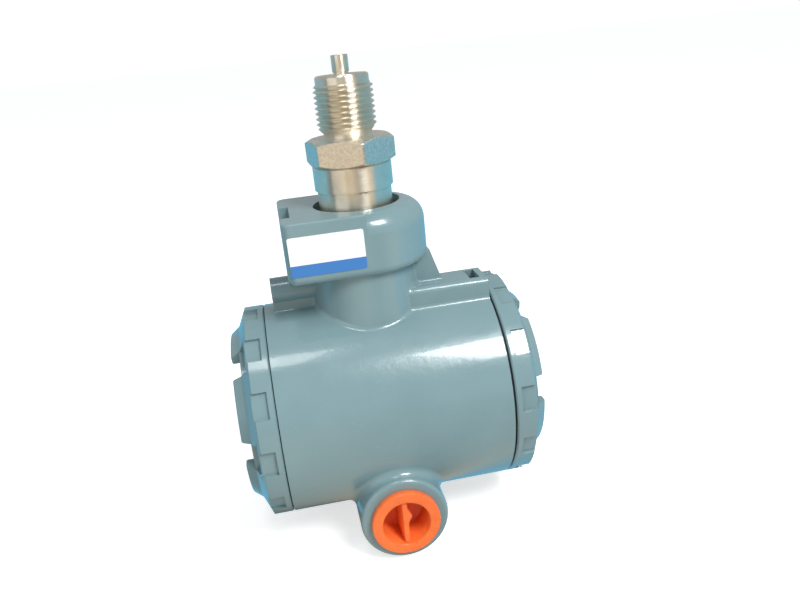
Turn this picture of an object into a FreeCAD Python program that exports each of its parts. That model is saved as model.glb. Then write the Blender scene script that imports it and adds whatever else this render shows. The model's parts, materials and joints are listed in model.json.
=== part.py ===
"""Field pressure transmitter: a twin-compartment cast housing on a threaded process connection.

Frame: millimetres, +Z along the process connection towards the pressure port, X along the housing
axis, -Y towards the front conduit entry.  The origin is on the process axis, half-way along the
process thread.  The instrument is held by that thread and stands with its port up.
"""
import FreeCAD, Part
import Sketcher
import math
import os
import re

# Driving dimensions, in millimetres and degrees.  Each one is written once, here.
DIMENSIONS = {
    # process connection: G 1/2 parallel thread with centring spigot
    "thread_dia": 20.955, "thread_len": 15.3, "thread_lead_in": 1.0,
    "nose_dia": 18.6, "nose_len": 2.9, "nose_chamfer": 0.6,
    "spigot_dia": 5.8, "spigot_len": 6.4, "spigot_neck_dia": 5.2, "spigot_neck_len": 0.8,
    "pressure_bore": 3.0,
    "relief_dia": 17.0, "relief_len": 2.7,
    "hex_flats": 28.2, "hex_height": 9.1, "hex_turn": -19.65, "hex_chamfer_angle": 28.0,
    "hex_chamfer_start": 0.3,
    "weld_lip_dia": 20.0, "weld_lip_len": 2.0, "chamber_gap": 0.5, "chamber_rim": 1.2,
    # sensor body: the stainless stem that carries the cell and turns in the housing neck
    "sleeve_dia": 28.1, "sleeve_len": 8.5, "sleeve_chamfer": 0.4,
    "groove_dia": 26.2, "groove_width": 0.8,
    "collar_dia": 26.5, "shoulder_dia": 29.5, "shoulder_height": 2.4,
    "stem_dia": 25.9, "running_gap": 0.05, "seat_gap": 0.1,
    "sensor_bore": 20.2, "board_bore": 18.0,
    "stem_end": 4.6, "clip_groove_depth": 1.25, "clip_thick": 1.2, "clip_width": 2.8, "clip_slot": 6.0,
    "seal_groove_dia": 22.4, "seal_groove_width": 3.2, "seal_width": 2.8, "seal_drop": 7.5,
    "cell_height": 7.0, "diaphragm_thick": 0.25, "wave_height": 0.25, "wave_pitch": 1.0,
    "pin_dia": 0.8, "pin_len": 4.0, "pin_ring_dia": 10.0,
    "board_thick": 1.2, "board_dia": 17.2, "chip_size": 5.0, "chip_height": 1.2,
    # bell: the D-shaped head of the housing around the module
    "exposed_sleeve": 14.3, "bell_height": 19.2, "bell_underside": 2.8,
    "bell_half_width": 22.5, "bell_left": 28.3, "bell_round": 1.5, "bell_corner": 3.2,
    "bell_shoulder": 7.5, "bell_edge": 0.8, "bell_step": 0.3,
    "bell_cavity_gap": 0.95, "bell_cavity_depth": 10.0,
    "notch_depth": 3.7, "notch_front": 12.0, "notch_back": 6.0, "notch_drop": 6.5,
    # housing drum and neck
    "bell_rise": 35.8, "drum_dia": 79.6, "drum_left": 38.7, "drum_right": 43.2,
    "neck_top_dia": 38.0, "neck_base_dia": 42.6, "neck_fillet": 2.0, "rib_fillet": 1.1,
    "mouth_wall": 4.3, "cover_bore_len": 11.0, "mouth_step": 2.0,
    "bulkhead_place": 11.5, "bulkhead_thick": 3.5,
    "neck_bearing_len": 22.2, "well_gap": 1.5, "hood_wall": 3.5, "hood_floor": 3.5, "hood_roof": 3.5,
    "hood_sink": 3.8, "window_width": 14.0, "window_height": 6.5, "window_sill": 1.5,
    # ribs on top of the drum
    "ridge_front": 15.5, "ridge_back": 1.5, "ridge_rise": 4.6, "ridge_edge": 2.0,
    "web_width": 7.5, "web_top_x": 23.6, "web_foot_x": 27.4,
    "bar_half": 5.0, "bar_web_half": 3.8, "bar_rise": 11.7, "bar_reach": 35.0,
    "slot_near": 37.0, "slot_width": 3.7, "slot_start": 2.5, "slot_end": 12.5, "slot_height": 9.0,
    "rib_sink": 9.8, "lock_side": 8.0, "lock_sink": 0.6, "lock_hole_len": 12.0,
    # conduit entries
    "boss_raise": 7.1, "boss_stand": 1.3, "boss_dia": 32.0, "boss_rim": 1.4,
    "boss_fillet": 2.5, "conduit_bore": 20.0, "conduit_inner": 8.0,
    # screwed covers
    "left_seam": 0.3, "right_seam": 0.9, "rim_len": 2.3, "skirt_len": 7.2, "rim_height": 8.2,
    "rim_bevel": 2.2, "face_height": 10.3, "face_inset": 6.8, "cover_wall": 2.1, "cover_edge": 0.5,
    "spigot_reach": 9.0, "cover_thread_gap": 0.07, "spigot_wall": 3.5, "cavity_bevel": 3.0,
    "pocket_count": 12, "pocket_width": 9.3, "pocket_depth": 1.3,
    "lug_count": 6, "lug_angle": 42.0, "lug_height": 3.3, "lug_inset": 9.4, "lug_thick": 4.5,
    "lug_corner": 2.4, "lug_edge": 0.6, "left_cover_turn": 27.3, "right_cover_turn": 21.7,
    "seal_inset": 0.8, "seal_ring_width": 2.4, "seal_sink": 1.5,
    # conduit plugs
    "plug_flange_dia": 25.0, "plug_flange_thick": 3.0, "plug_body_dia": 19.4, "plug_body_len": 11.0,
    "plug_cup_dia": 17.2, "plug_cup_depth": 11.5, "plug_grip": 3.2, "plug_grip_sink": 1.0,
    "blank_body_dia": 19.86, "blank_flange_dia": 25.0, "blank_flange_thick": 3.2,
    "blank_socket": 10.0, "blank_socket_depth": 7.0, "blank_seal_thick": 1.0, "blank_seal_inset": 0.4,
    # electronics
    "post_dia": 8.0, "board_behind": 2.3, "board_gap": 4.5, "main_board_thick": 1.6, "shroud_depth": 14.0, "shroud_wall": 1.6,
    "board_screw_dia": 3.0, "screw_gap": 0.3, "lead_width": 6.0, "lead_thick": 0.6, "lead_bend": 3.0,
    "lead_fold": 1.5, "lead_landing": 5.0,
    "board_head_dia": 5.5, "board_head_len": 2.0, "board_screw_short": 1.5, "screw_slot": 0.9,
    # terminals
    "terminal_pitch": 13.0, "block_inset": 7.5, "block_height": 22.0, "block_depth": 11.0,
    "block_lift": 4.0, "block_back": 8.0, "terminal_well": 9.4,
    "terminal_well_depth": 4.0, "terminal_screw_dia": 4.0, "terminal_head_dia": 7.0,
    "terminal_head_len": 2.4, "clamp_size": 8.4, "clamp_thick": 1.2, "terminal_grip": 6.0,
    "terminal_hole_len": 6.2, "plate_thick": 0.8, "counterbore_gap": 1.1, "counterbore_depth": 3.0,
    "block_grip": 6.0, "block_hole_len": 8.0,
    "ground_turn": 36.0, "ground_inset": 6.3, "ground_post_dia": 10.0, "ground_post_len": 16.0,
    "ground_lift": 12.0, "ground_out_side": 27.0, "ground_boss_dia": 14.0,
    "ground_out_hole_len": 7.0, "ground_in_hole_len": 9.0, "ground_in_grip": 7.0,
    # grub screws
    "grub_dia": 4.0, "grub_len": 7.0, "grub_socket": 2.0, "grub_gap": 0.08, "grub_drop": 15.1,
    "lock_dia": 3.0, "lock_len": 4.5,
    # how far cutting tools run past a face, and how deep joined forms run into each other
    "overrun": 1.0, "root_overlap": 0.5,
    # sticker on the flat front of the bell
    "sticker_width": 25.8, "sticker_height": 13.9, "sticker_thick": 0.15, "sticker_left": 26.9,
    "sticker_drop": 18.5, "sticker_corner": 0.8,
}

# Sizes and places that follow from the ones above, each with a cell of its own
DERIVED = {
    "shoulder_step": "shoulder_dia - collar_dia",
    "bell_cavity_dia": "shoulder_dia + 2 * bell_cavity_gap",
    "seal_groove_floor": "seal_groove_dia / 2 + running_gap",
    "clip_groove_dia": "stem_dia - 2 * clip_groove_depth",
    "clip_eye_dia": "clip_groove_dia + 2 * running_gap",
    "clip_dia": "clip_groove_dia + 2 * clip_width",
    "well_dia": "stem_dia + 2 * running_gap + 2 * well_gap + 1.4",
    "hood_dia": "well_dia + 2 * hood_wall",
    "bell_to_axis": "drum_dia / 2 + bell_rise",
    "hood_top": "drum_dia / 2 - hood_sink",
    "window_high": "hood_top - hood_roof",
    "window_low": "window_high - window_height",
    "well_floor": "window_low - window_sill",
    "rib_root": "drum_dia / 2 - rib_sink",
    "ridge_top": "drum_dia / 2 + ridge_rise",
    "web_top_z": "bell_to_axis - bell_height",
    "bar_top": "drum_dia / 2 + bar_rise",
    "lock_lift": "drum_dia / 2 - lock_sink",
    "grub_lift": "bell_to_axis - grub_drop",
    "sticker_low": "bell_to_axis - sticker_drop",
    "conduit_drop": "drum_dia / 2 - boss_raise",
    "conduit_reach": "drum_dia / 2 + boss_stand",
    "cover_bore": "drum_dia - 2 * mouth_wall",
    "compartment_dia": "cover_bore - 2 * mouth_step",
    "cover_cavity_dia": "cover_bore - 2 * spigot_wall",
    "seal_inner_dia": "cover_bore + 2 * seal_inset",
    "seal_outer_dia": "seal_inner_dia + 2 * seal_ring_width",
    "face_dia": "drum_dia - 2 * face_inset",
    "lug_root": "drum_dia / 2 - rim_bevel",
    "lug_outer": "drum_dia / 2 - lug_inset",
    "lug_inner": "lug_outer - lug_thick",
    "main_board_dia": "compartment_dia - 2 * board_gap",
    "post_ring": "main_board_dia - post_dia",
    "post_len": "hood_dia / 2 + board_behind - bulkhead_place - bulkhead_thick",
    "block_width": "compartment_dia - 2 * block_inset",
    "block_post_side": "block_width / 2 - post_dia / 2",
    "ground_side": "(compartment_dia / 2 - ground_inset) * cos(ground_turn * 1deg)",
    "ground_drop": "(compartment_dia / 2 - ground_inset) * sin(ground_turn * 1deg)",
}

# Levels on the process axis, as formulas over the sizes above
NOSE_TOP = "(thread_len / 2 + nose_len)"
HEX_TOP = "(-thread_len / 2 - relief_len)"
HEX_BOTTOM = f"({HEX_TOP} - hex_height)"
BELL_TOP = f"({HEX_BOTTOM} - exposed_sleeve)"
BELL_LOW = f"({BELL_TOP} - bell_height)"
AXIS_Z = f"({BELL_TOP} - bell_to_axis)"
CAVITY_FLOOR = f"({BELL_TOP} - bell_cavity_depth)"
BEARING_END = f"({CAVITY_FLOOR} - neck_bearing_len)"
STEM_END = f"({BEARING_END} - stem_end)"
CELL_TOP = f"({HEX_BOTTOM} - weld_lip_len - chamber_gap - diaphragm_thick)"
CELL_LOW = f"({CELL_TOP} - cell_height)"
BOARD_TOP = f"({CELL_LOW} - pin_len)"

# Directions of the main board's posts, round the drum's axis, in degrees
POST_TURNS = (30, 150, 270)
# Parts on the main board: ends along Y and above the drum's axis as hundredths of the board's
# diameter, and height off the board
MAIN_CHIPS = [((-24, -7), (-10, 14), 3.0), ((7, 27), (-20, -4), 5.0), ((-7, 7), (21, 34), 6.5),
              ((-31, -14), (-31, -21), 2.5), ((10, 24), (7, 20), 2.0)]
# Where an outline's corners start before its sizes draw them into place
SEED_PLACE = 30
SEED_RADIUS = 20

document = FreeCAD.newDocument("pressure_transmitter")
pieces = {}


def fill_sheet():
    sheet = document.addObject("Spreadsheet::Sheet", "dims")
    for row, (name, value) in enumerate(DIMENSIONS.items(), start=1):
        sheet.set(f"A{row}", name)
        sheet.set(f"B{row}", str(value))
        sheet.setAlias(f"B{row}", name)
    for row, (name, text) in enumerate(DERIVED.items(), start=len(DIMENSIONS) + 1):
        sheet.set(f"A{row}", name)
        sheet.set(f"B{row}", "=" + text)
        sheet.setAlias(f"B{row}", name)
    document.recompute()


def formula(text):
    """Point every dimension's name at its cell."""
    def cell(match):
        word = match.group(0)
        return f"dims.{word}" if word in DIMENSIONS or word in DERIVED else word
    return re.sub(r"[a-z][a-z_0-9]*", cell, str(text))


def bind(item, prop, text):
    item.setExpression(prop, formula(text))


def place(item, across="0", depth="0", lift="0"):
    for axis, text in (("x", across), ("y", depth), ("z", lift)):
        bind(item, f"Placement.Base.{axis}", text)


# ---------------------------------------------------------------- PartDesign helpers
def new_body(name):
    body = document.addObject("PartDesign::Body", name)
    body.Label = name
    return body


def new_sketch(body, name, plane, lift=None):
    sketch = body.newObject("Sketcher::SketchObject", name)
    origin_plane = next(item for item in body.Origin.OriginFeatures if item.Role == plane)
    sketch.AttachmentSupport = (origin_plane, [""])
    sketch.MapMode = "FlatFace"
    if lift is not None:
        bind(sketch, "AttachmentOffset.Base.z", lift)
    return sketch


def fix_vertex(sketch, edge, end, across, up):
    for kind, text in (("DistanceX", across), ("DistanceY", up)):
        number = sketch.addConstraint(Sketcher.Constraint(kind, -1, 1, edge, end, 1.0))
        bind(sketch, f"Constraints[{number}]", text)


def draw_outline(sketch, corners):
    """Closed polyline whose corners are pairs of formulas."""
    count = len(corners)
    turn = 2 * math.pi / count
    seeds = [FreeCAD.Vector(SEED_PLACE + SEED_RADIUS * math.cos(turn * i),
                            SEED_RADIUS * math.sin(turn * i), 0) for i in range(count)]
    first = len(sketch.Geometry)
    for i in range(count):
        sketch.addGeometry(Part.LineSegment(seeds[i], seeds[(i + 1) % count]), False)
    for i in range(count):
        following = first + (i + 1) % count
        sketch.addConstraint(Sketcher.Constraint("Coincident", first + i, 2, following, 1))
    for i, (across, up) in enumerate(corners):
        fix_vertex(sketch, first + i, 1, across, up)


def turned(body, name, corners, axis="Z", kind="Revolution", spin=360):
    """Revolve a closed outline: (radius, height) about Z, or (along, radius) about X or Y."""
    plane, reference = {"Z": ("XZ_Plane", "V_Axis"), "X": ("XZ_Plane", "H_Axis"),
                        "Y": ("YZ_Plane", "H_Axis")}[axis]
    sketch = new_sketch(body, name + "_outline", plane)
    draw_outline(sketch, corners)
    feature = body.newObject("PartDesign::" + kind, name)
    feature.Profile = sketch
    feature.ReferenceAxis = (sketch, [reference])
    feature.Angle = spin
    return feature


def padded(body, name, sketch, length, kind="Pad", reverse=False, both=False):
    feature = body.newObject("PartDesign::" + kind, name)
    feature.Profile = sketch
    bind(feature, "Length", length)
    feature.Reversed = reverse
    feature.Midplane = both
    return feature


def repeated(body, feature, name, count, plane="YZ_Plane"):
    """Repeat a feature round the X axis."""
    pattern = body.newObject("PartDesign::PolarPattern", name)
    pattern.Originals = [feature]
    axis = next(item for item in body.Origin.OriginFeatures if item.Role == "X_Axis")
    pattern.Axis = (axis, [""])
    pattern.Angle = 360
    bind(pattern, "Occurrences", count)
    body.Tip = pattern
    return pattern


# ---------------------------------------------------------------- Part primitive helpers
TURNS = {
    "Z": FreeCAD.Rotation(),
    "X": FreeCAD.Rotation(FreeCAD.Vector(0, 1, 0), 90),
    "-X": FreeCAD.Rotation(FreeCAD.Vector(0, 1, 0), -90),
    "Y": FreeCAD.Rotation(FreeCAD.Vector(1, 0, 0), -90),
    "-Y": FreeCAD.Rotation(FreeCAD.Vector(1, 0, 0), 90),
}


def cylinder(name, dia, length, start=("0", "0", "0"), axis="Z"):
    item = document.addObject("Part::Cylinder", name)
    bind(item, "Radius", f"({dia}) / 2")
    bind(item, "Height", length)
    item.Placement = FreeCAD.Placement(FreeCAD.Vector(), TURNS[axis])
    place(item, *start)
    return item


def cone(name, low_dia, high_dia, length, start=("0", "0", "0"), axis="Z"):
    item = document.addObject("Part::Cone", name)
    bind(item, "Radius1", f"({low_dia}) / 2")
    bind(item, "Radius2", f"({high_dia}) / 2")
    bind(item, "Height", length)
    item.Placement = FreeCAD.Placement(FreeCAD.Vector(), TURNS[axis])
    place(item, *start)
    return item


def box(name, across, depth, lift):
    """Box between pairs of formulas along X, Y and Z."""
    item = document.addObject("Part::Box", name)
    for prop, (low, high) in (("Length", across), ("Width", depth), ("Height", lift)):
        bind(item, prop, f"({high}) - ({low})")
    place(item, across[0], depth[0], lift[0])
    return item


def prism(name, sides, inner_radius, length, start, axis="Z", spin=0):
    item = document.addObject("Part::Prism", name)
    item.Polygon = sides
    bind(item, "Circumradius", f"({inner_radius}) / cos(180deg / {sides})")
    bind(item, "Height", length)
    turn = FreeCAD.Rotation(FreeCAD.Vector(0, 0, 1), spin)
    item.Placement = FreeCAD.Placement(FreeCAD.Vector(), TURNS[axis] * turn)
    place(item, *start)
    return item


def fused(name, items):
    item = document.addObject("Part::MultiFuse", name)
    item.Shapes = items
    item.Refine = True
    return item


def cut(name, base, tools):
    item = document.addObject("Part::Cut", name)
    item.Base = base
    item.Tool = tools[0] if len(tools) == 1 else fused(name + "_tools", tools)
    item.Refine = True
    return item


def group(name, items):
    """Separate like solids that share one node."""
    item = document.addObject("Part::Compound", name)
    item.Links = items
    return item


def keep(name, item):
    item.Label = name
    pieces[name] = item
    return item


def edges_where(shape, wanted):
    """Numbers of the edges whose geometry the test accepts."""
    return [number for number, edge in enumerate(shape.Edges, start=1) if wanted(edge)]


def size_of(name):
    return float(getattr(document.getObject("dims"), name))


# ---------------------------------------------------------------- module: what the process holds
def make_process_connection():
    body = new_body("process_connection")
    corner_dia = "(hex_flats / cos(30deg))"
    chamber_top = f"({HEX_BOTTOM} - weld_lip_len)"
    spigot_top = f"({NOSE_TOP} + spigot_len)"
    turned(body, "connection_turning", [
        ("pressure_bore / 2", spigot_top),
        ("spigot_dia / 2", spigot_top),
        ("spigot_dia / 2", f"{NOSE_TOP} + spigot_neck_len"),
        ("spigot_neck_dia / 2", f"{NOSE_TOP} + spigot_neck_len"),
        ("spigot_neck_dia / 2", NOSE_TOP),
        ("nose_dia / 2 - nose_chamfer", NOSE_TOP),
        ("nose_dia / 2", f"{NOSE_TOP} - nose_chamfer"),
        ("nose_dia / 2", "thread_len / 2"),
        ("thread_dia / 2 - thread_lead_in", "thread_len / 2"),
        ("thread_dia / 2", "thread_len / 2 - thread_lead_in"),
        ("thread_dia / 2", "-thread_len / 2"),
        ("relief_dia / 2", "-thread_len / 2"),
        ("relief_dia / 2", HEX_TOP),
        ("hex_flats / 2 - overrun", HEX_TOP),
        ("hex_flats / 2 - overrun", HEX_BOTTOM),
        ("weld_lip_dia / 2", HEX_BOTTOM),
        ("weld_lip_dia / 2", f"{chamber_top} - chamber_gap"),
        ("weld_lip_dia / 2 - chamber_rim", f"{chamber_top} - chamber_gap"),
        ("weld_lip_dia / 2 - chamber_rim", chamber_top),
        ("pressure_bore / 2", chamber_top),
    ])
    hexagon = new_sketch(body, "hexagon", "XY_Plane", HEX_BOTTOM)
    draw_outline(hexagon, [
        (f"{corner_dia} / 2 * cos((hex_turn + {60 * i}) * 1deg)",
         f"{corner_dia} / 2 * sin((hex_turn + {60 * i}) * 1deg)") for i in range(6)])
    padded(body, "hexagon_pad", hexagon, "hex_height")
    rim = f"({corner_dia} / 2 + overrun - hex_chamfer_start)"
    drop = f"({rim} - hex_flats / 2 + hex_chamfer_start) * tan(hex_chamfer_angle * 1deg)"
    for name, level, way in (("top", HEX_TOP, "-"), ("low", HEX_BOTTOM, "+")):
        turned(body, f"hexagon_{name}_chamfer", [
            ("hex_flats / 2 - hex_chamfer_start", level),
            (rim, level),
            (rim, f"{level} {way} {drop}"),
        ], kind="Groove")
    keep("process_connection", body)


def make_sensor_body():
    body = new_body("sensor_body")
    seat = f"({CAVITY_FLOOR} + seat_gap)"
    clip_top = f"({BEARING_END} - seat_gap)"
    seal_top = f"({CAVITY_FLOOR} - seal_drop)"
    turned(body, "sensor_turning", [
        ("sensor_bore / 2", HEX_BOTTOM),
        ("sleeve_dia / 2 - sleeve_chamfer", HEX_BOTTOM),
        ("sleeve_dia / 2", f"{HEX_BOTTOM} - sleeve_chamfer"),
        ("sleeve_dia / 2", f"{HEX_BOTTOM} - sleeve_len"),
        ("groove_dia / 2", f"{HEX_BOTTOM} - sleeve_len"),
        ("groove_dia / 2", f"{HEX_BOTTOM} - sleeve_len - groove_width"),
        ("collar_dia / 2", f"{HEX_BOTTOM} - sleeve_len - groove_width"),
        ("collar_dia / 2", f"{seat} + shoulder_height"),
        ("shoulder_dia / 2", f"{seat} + shoulder_height"),
        ("shoulder_dia / 2", seat),
        ("stem_dia / 2", seat),
        ("stem_dia / 2", seal_top),
        ("seal_groove_dia / 2", seal_top),
        ("seal_groove_dia / 2", f"{seal_top} - seal_groove_width"),
        ("stem_dia / 2", f"{seal_top} - seal_groove_width"),
        ("stem_dia / 2", clip_top),
        ("clip_groove_dia / 2", clip_top),
        ("clip_groove_dia / 2", f"{clip_top} - clip_thick"),
        ("stem_dia / 2", f"{clip_top} - clip_thick"),
        ("stem_dia / 2", STEM_END),
        ("board_bore / 2", STEM_END),
        ("board_bore / 2", CELL_LOW),
        ("sensor_bore / 2", CELL_LOW),
    ])
    keep("sensor_body", body)


def make_neck_seal():
    body = new_body("neck_seal")
    middle = f"({CAVITY_FLOOR} - seal_drop - seal_groove_width / 2)"
    inner, outer = "seal_groove_floor", "stem_dia / 2"
    turned(body, "neck_seal_turning", [
        (inner, f"{middle} - seal_width / 4"), (inner, f"{middle} + seal_width / 4"),
        (f"{inner} + seal_width / 4", f"{middle} + seal_width / 2"),
        (f"{outer} - seal_width / 4", f"{middle} + seal_width / 2"),
        (outer, f"{middle} + seal_width / 4"), (outer, f"{middle} - seal_width / 4"),
        (f"{outer} - seal_width / 4", f"{middle} - seal_width / 2"),
        (f"{inner} + seal_width / 4", f"{middle} - seal_width / 2"),
    ])
    keep("neck_seal", body)


def make_neck_circlip():
    low = f"({BEARING_END} - seat_gap - clip_thick)"
    ring = cut("circlip_ring", cylinder("circlip_disc", "clip_dia", "clip_thick", ("0", "0", low)),
               [cylinder("circlip_eye", "clip_eye_dia", "clip_thick + 2 * overrun",
                         ("0", "0", f"{low} - overrun"))])
    mouth = box("circlip_mouth", ("0", "clip_dia"), ("-clip_slot / 2", "clip_slot / 2"),
                (f"{low} - overrun", f"{low} + clip_thick + overrun"))
    keep("neck_circlip", cut("circlip", ring, [mouth]))


def make_diaphragm():
    body = new_body("isolating_diaphragm")
    rise = [("0", 0), ("2", 0), ("3", 1), ("4", 0), ("5", 1), ("6", 0), ("7", 1), ("8", 0)]
    top = [(f"{r} * wave_pitch", f"{CELL_TOP} + diaphragm_thick + {up} * wave_height") for r, up in rise]
    low = [(f"{r} * wave_pitch", f"{CELL_TOP} + {up} * wave_height") for r, up in reversed(rise)]
    rim = [("weld_lip_dia / 2", f"{CELL_TOP} + diaphragm_thick"), ("weld_lip_dia / 2", CELL_TOP)]
    turned(body, "diaphragm_turning", top + rim + low)
    keep("isolating_diaphragm", body)


def make_sensor_cell():
    can = cylinder("cell_can", "weld_lip_dia", "cell_height", ("0", "0", CELL_LOW))
    pins = []
    for i in range(6):
        across = f"pin_ring_dia / 2 * cos({60 * i}deg)"
        depth = f"pin_ring_dia / 2 * sin({60 * i}deg)"
        pins.append(cylinder(f"cell_pin_{i}", "pin_dia", "pin_len", (across, depth, BOARD_TOP)))
    keep("sensor_cell", fused("cell_with_pins", [can] + pins))


def make_sensor_board():
    low = f"({BOARD_TOP} - board_thick)"
    plate = cylinder("sensor_board_plate", "board_dia", "board_thick", ("0", "0", low))
    chips = []
    for side in (-1, 1):
        middle = f"({side} * board_dia / 4)"
        chips.append(box(f"sensor_chip_{side + 1}",
                         (f"{middle} - chip_size / 2", f"{middle} + chip_size / 2"),
                         ("-chip_size / 2", "chip_size / 2"), (f"{low} - chip_height", low)))
    keep("sensor_board", fused("sensor_board_parts", [plate] + chips))


# ---------------------------------------------------------------- housing casting
def rounded(name, base, chosen, size, kind="Fillet"):
    """Fillet or chamfer the edges of a finished Part shape that the test accepts."""
    document.recompute()
    item = document.addObject("Part::" + kind, name)
    item.Base = base
    item.Edges = [(number, size, size) for number in edges_where(base.Shape, chosen)]
    return item


def is_vertical(edge):
    low, high = edge.BoundBox.ZMin, edge.BoundBox.ZMax
    return high - low > 1 and edge.BoundBox.XLength < 0.01 and edge.BoundBox.YLength < 0.01


def level_of(text):
    """A level's present value, read through a cell that the sheet works out."""
    probe = document.getObject("probe") or document.addObject("Part::Vertex", "probe")
    bind(probe, "Z", text)
    document.recompute()
    return float(probe.Z)


def make_bell():
    """D-shaped head: a sharp-edged block on the left and a round end with a soft shoulder."""
    foot_level = f"({BELL_LOW} - bell_underside)"
    top, foot = level_of(BELL_TOP), level_of(foot_level)
    left, step = -size_of("bell_left"), size_of("bell_step")

    def on_level(edge, level):
        return abs(edge.BoundBox.ZMin - level) < 0.01 and edge.BoundBox.ZLength < 0.01

    def runs_along(edge, level):
        return on_level(edge, level) and edge.BoundBox.YLength < 0.01
    width = ("-bell_half_width", "bell_half_width")
    block = box("bell_block", ("-bell_left", "bell_step"), width, (foot_level, BELL_TOP))
    block = rounded("bell_block_corners", block,
                    lambda edge: is_vertical(edge) and edge.BoundBox.XMax < left + 0.1,
                    size_of("bell_corner"))
    block = rounded("bell_block_foot", block,
                    lambda edge: on_level(edge, foot) and edge.BoundBox.XMin < step - 0.1,
                    size_of("bell_underside"))
    block = rounded("bell_block_top", block,
                    lambda edge: on_level(edge, top) and edge.BoundBox.XMin < step - 0.1,
                    size_of("bell_edge"))
    link = box("bell_link", ("bell_step", "bell_round"), width, (foot_level, BELL_TOP))
    link = rounded("bell_link_shoulder", link, lambda edge: runs_along(edge, top),
                   size_of("bell_shoulder"))
    link = rounded("bell_link_foot", link, lambda edge: runs_along(edge, foot),
                   size_of("bell_underside"))

    def bends_on(edge, level):
        return on_level(edge, level) and edge.BoundBox.XLength > 1
    drum = cylinder("bell_round_end", "2 * bell_half_width", f"{BELL_TOP} - {foot_level}",
                    ("bell_round", "0", foot_level))
    drum.Angle = 180
    drum.Placement.Rotation = FreeCAD.Rotation(FreeCAD.Vector(0, 0, 1), -90)
    drum = rounded("bell_round_shoulder", drum, lambda edge: bends_on(edge, top),
                   size_of("bell_shoulder"))
    drum = rounded("bell_round_foot", drum, lambda edge: bends_on(edge, foot),
                   size_of("bell_underside"))
    return [block, link, drum]


def make_ribs():
    """Lock ridge on the right, with a web up to the bell, and a round-topped bar on the left."""
    ridge = box("ridge_block", ("0", "drum_right"), ("-ridge_front", "-ridge_back"),
                (f"{AXIS_Z} + rib_root", f"{AXIS_Z} + ridge_top"))
    top, front = level_of(f"{AXIS_Z} + ridge_top"), -size_of("ridge_front")
    ridge = rounded("ridge_rounded", ridge,
                    lambda edge: edge.BoundBox.YLength < 0.01 and edge.BoundBox.ZMin > top - 0.01
                    and edge.BoundBox.YMin < front + 0.01, size_of("ridge_edge"))
    body = new_body("web_body")
    sketch = new_sketch(body, "web_outline", "XZ_Plane", "ridge_back")
    web_outline = [("0", "rib_root"), ("web_foot_x", "rib_root"), ("web_foot_x", "ridge_top"),
                   ("web_top_x", "web_top_z"), ("0", "web_top_z")]
    draw_outline(sketch, [(across, f"{AXIS_Z} + {up}") for across, up in web_outline])
    padded(body, "web", sketch, "web_width")
    bar_low = box("bar_block", ("-bar_reach", "0"), ("-bar_web_half", "bar_web_half"),
                  (f"{AXIS_Z} + rib_root", f"{AXIS_Z} + bar_top - bar_half"))
    bar_top = cylinder("bar_round", "2 * bar_half", "bar_reach",
                       ("-bar_reach", "0", f"{AXIS_Z} + bar_top - bar_half"), "X")
    return [ridge, body, bar_low, bar_top]


def make_conduit_boss(side, axis):
    boss = cylinder(f"conduit_boss_{side}", "boss_dia", "conduit_reach",
                    ("0", "0", f"{AXIS_Z} - conduit_drop"), axis)
    reach = size_of("conduit_reach")
    return rounded(f"conduit_rim_{side}", boss,
                   lambda edge: edge.BoundBox.YLength < 0.01 and abs(abs(edge.BoundBox.YMin) - reach) < 0.01,
                   size_of("boss_rim"))


def form_of(face):
    """Which form of the casting a face of its outside belongs to."""
    surface = face.Surface
    kind = type(surface).__name__
    middle = face.CenterOfMass
    if kind == "Cone":
        return "neck" if face.BoundBox.ZMin < level_of(f"{AXIS_Z} + bell_to_axis / 2") else "other"
    if kind == "Plane":
        if middle.z < level_of(f"{AXIS_Z} + rib_root") or middle.z > level_of(BELL_LOW):
            return "other"
        if abs(surface.Axis.y) < 0.9:
            return "web" if 0.1 < abs(surface.Axis.z) < 0.9 else "other"
        if middle.x < 0:
            return "bar"
        return "web" if middle.z > level_of(f"{AXIS_Z} + ridge_top") else "ridge"
    if kind != "Cylinder":
        return "other"
    if abs(surface.Axis.y) > 0.9:
        return "boss" if abs(surface.Radius - size_of("boss_dia") / 2) < 0.01 else "ground boss"
    return "drum" if abs(surface.Radius - size_of("drum_dia") / 2) < 0.01 else "other"


def blended(name, base, pairs, size):
    """Fillet the inner corners where the named forms of the casting meet."""
    document.recompute()
    shape = base.Shape
    forms = [(face, form_of(face)) for face in shape.Faces]

    def chosen(edge):
        meeting = {form for face, form in forms if any(edge.isSame(side) for side in face.Edges)}
        return any(meeting == set(pair) for pair in pairs)
    return rounded(name, base, chosen, size)


def post_places():
    """Across and up places, round the drum's axis, of the main board's posts."""
    return [(f"post_ring / 2 * cos({turn}deg)", f"{AXIS_Z} + post_ring / 2 * sin({turn}deg)")
            for turn in POST_TURNS]


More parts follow.
